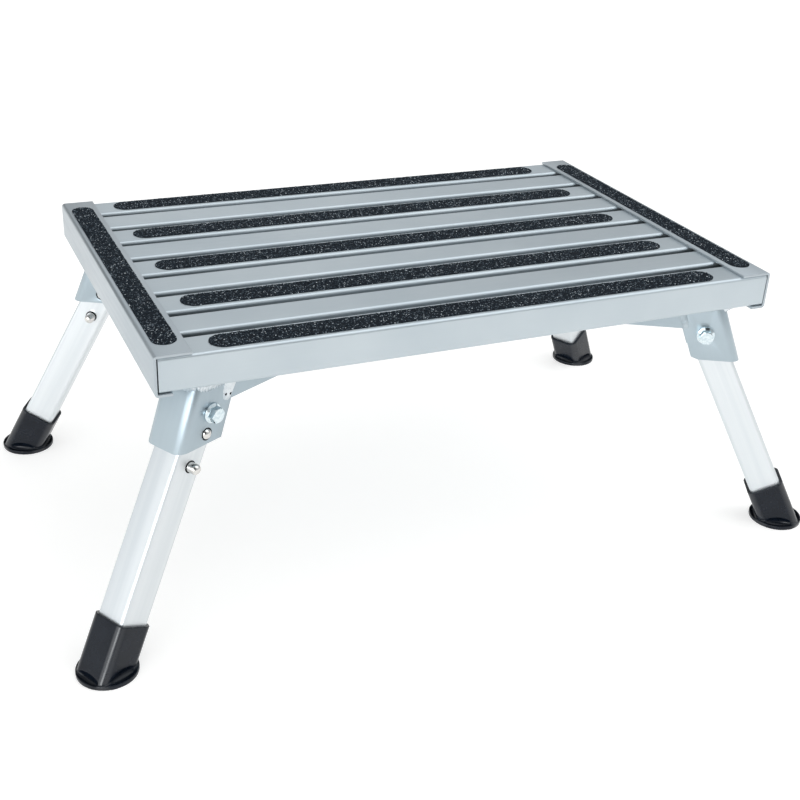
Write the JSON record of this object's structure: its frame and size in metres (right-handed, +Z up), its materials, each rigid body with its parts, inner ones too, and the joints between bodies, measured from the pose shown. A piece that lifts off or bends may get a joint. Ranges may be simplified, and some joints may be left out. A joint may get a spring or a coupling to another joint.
{
  "type": "caravan entry step",
  "caption": "Slatted aluminium platform step with grit strips, splayed folding legs in sheet hinge brackets, sprung lock buttons and rubber boots.",
  "frame": {"origin": "on the ground under the middle of the deck", "axes": "+X along the deck's long side, +Y to its back, +Z up"},
  "size_m": [0.6126, 0.3778, 0.2252],
  "materials": {
    "deck_metal": "silver-grey coat",
    "bracket_metal": "silver-grey coat",
    "leg_metal": "bright drawn",
    "zinc_steel": "bright zinc",
    "button_steel": "polished nickel",
    "washer_plastic": "natural",
    "boot_rubber": "semi-gloss black",
    "grit": "coarse black grit"
  },
  "bodies": {
    "platform": {"end_channel_left": "deck_metal", "end_channel_right": "deck_metal", "front_rail": "deck_metal", "slat_1": "deck_metal", "slat_2": "deck_metal", "slat_3": "deck_metal", "slat_4": "deck_metal", "slat_5": "deck_metal", "slat_6": "deck_metal", "slat_7": "deck_metal", "back_rail": "deck_metal", "grit_front_rail": "grit", "grit_slat_2": "grit", "grit_slat_4": "grit", "grit_slat_6": "grit", "grit_back_rail": "grit", "end_grit_left": "grit", "end_grit_right": "grit", "bracket_front_left": "bracket_metal", "brace_front_left": "bracket_metal", "pivot_bolt_front_left": "zinc_steel", "lock_nut_front_left": "zinc_steel", "bracket_front_right": "bracket_metal", "brace_front_right": "bracket_metal", "pivot_bolt_front_right": "zinc_steel", "lock_nut_front_right": "zinc_steel", "bracket_back_right": "bracket_metal", "brace_back_right": "bracket_metal", "pivot_bolt_back_right": "zinc_steel", "lock_nut_back_right": "zinc_steel", "bracket_back_left": "bracket_metal", "brace_back_left": "bracket_metal", "pivot_bolt_back_left": "zinc_steel", "lock_nut_back_left": "zinc_steel"},
    "leg_front_left": {"leg_tube_front_left": "leg_metal", "hinge_washers_front_left": "washer_plastic", "back_spring_front_left": "button_steel", "boot_front_left": "boot_rubber"},
    "button_front_left": {"button_strip_front_left": "button_steel"},
    "leg_front_right": {"leg_tube_front_right": "leg_metal", "hinge_washers_front_right": "washer_plastic", "back_spring_front_right": "button_steel", "boot_front_right": "boot_rubber"},
    "button_front_right": {"button_strip_front_right": "button_steel"},
    "leg_back_right": {"leg_tube_back_right": "leg_metal", "hinge_washers_back_right": "washer_plastic", "back_spring_back_right": "button_steel", "boot_back_right": "boot_rubber"},
    "button_back_right": {"button_strip_back_right": "button_steel"},
    "leg_back_left": {"leg_tube_back_left": "leg_metal", "hinge_washers_back_left": "washer_plastic", "back_spring_back_left": "button_steel", "boot_back_left": "boot_rubber"},
    "button_back_left": {"button_strip_back_left": "button_steel"}
  },
  "joints": [
    {"name": "fold_front_left", "type": "hinge", "parent": "platform", "child": "leg_front_left", "pos_m": [-0.2075, -0.126, 0.171], "axis": [0.4726, -0.8813, 0], "range_deg": [0, 117.75], "deforming": ["button_strip_front_left"]},
    {"name": "press_front_left", "type": "slide", "parent": "leg_front_left", "child": "button_front_left", "axis": [-0.4726, 0.8813, 0], "range_m": [0, 0.006], "stiffness_N_per_m": 250, "springref_m": -0.004, "deforming": ["back_spring_front_left"]},
    {"name": "fold_front_right", "type": "hinge", "parent": "platform", "child": "leg_front_right", "pos_m": [0.2075, -0.126, 0.171], "axis": [0.4726, 0.8813, 0], "range_deg": [0, 117.75], "deforming": ["button_strip_front_right"]},
    {"name": "press_front_right", "type": "slide", "parent": "leg_front_right", "child": "button_front_right", "axis": [-0.4726, -0.8813, 0], "range_m": [0, 0.006], "stiffness_N_per_m": 250, "springref_m": -0.004, "deforming": ["back_spring_front_right"]},
    {"name": "fold_back_right", "type": "hinge", "parent": "platform", "child": "leg_back_right", "pos_m": [0.2075, 0.126, 0.171], "axis": [-0.4726, 0.8813, 0], "range_deg": [0, 117.75], "deforming": ["button_strip_back_right"]},
    {"name": "press_back_right", "type": "slide", "parent": "leg_back_right", "child": "button_back_right", "axis": [0.4726, -0.8813, 0], "range_m": [0, 0.006], "stiffness_N_per_m": 250, "springref_m": -0.004, "deforming": ["back_spring_back_right"]},
    {"name": "fold_back_left", "type": "hinge", "parent": "platform", "child": "leg_back_left", "pos_m": [-0.2075, 0.126, 0.171], "axis": [-0.4726, -0.8813, 0], "range_deg": [0, 117.75], "deforming": ["button_strip_back_left"]},
    {"name": "press_back_left", "type": "slide", "parent": "leg_back_left", "child": "button_back_left", "axis": [0.4726, 0.8813, 0], "range_m": [0, 0.006], "stiffness_N_per_m": 250, "springref_m": -0.004, "deforming": ["back_spring_back_left"]}
  ]
}
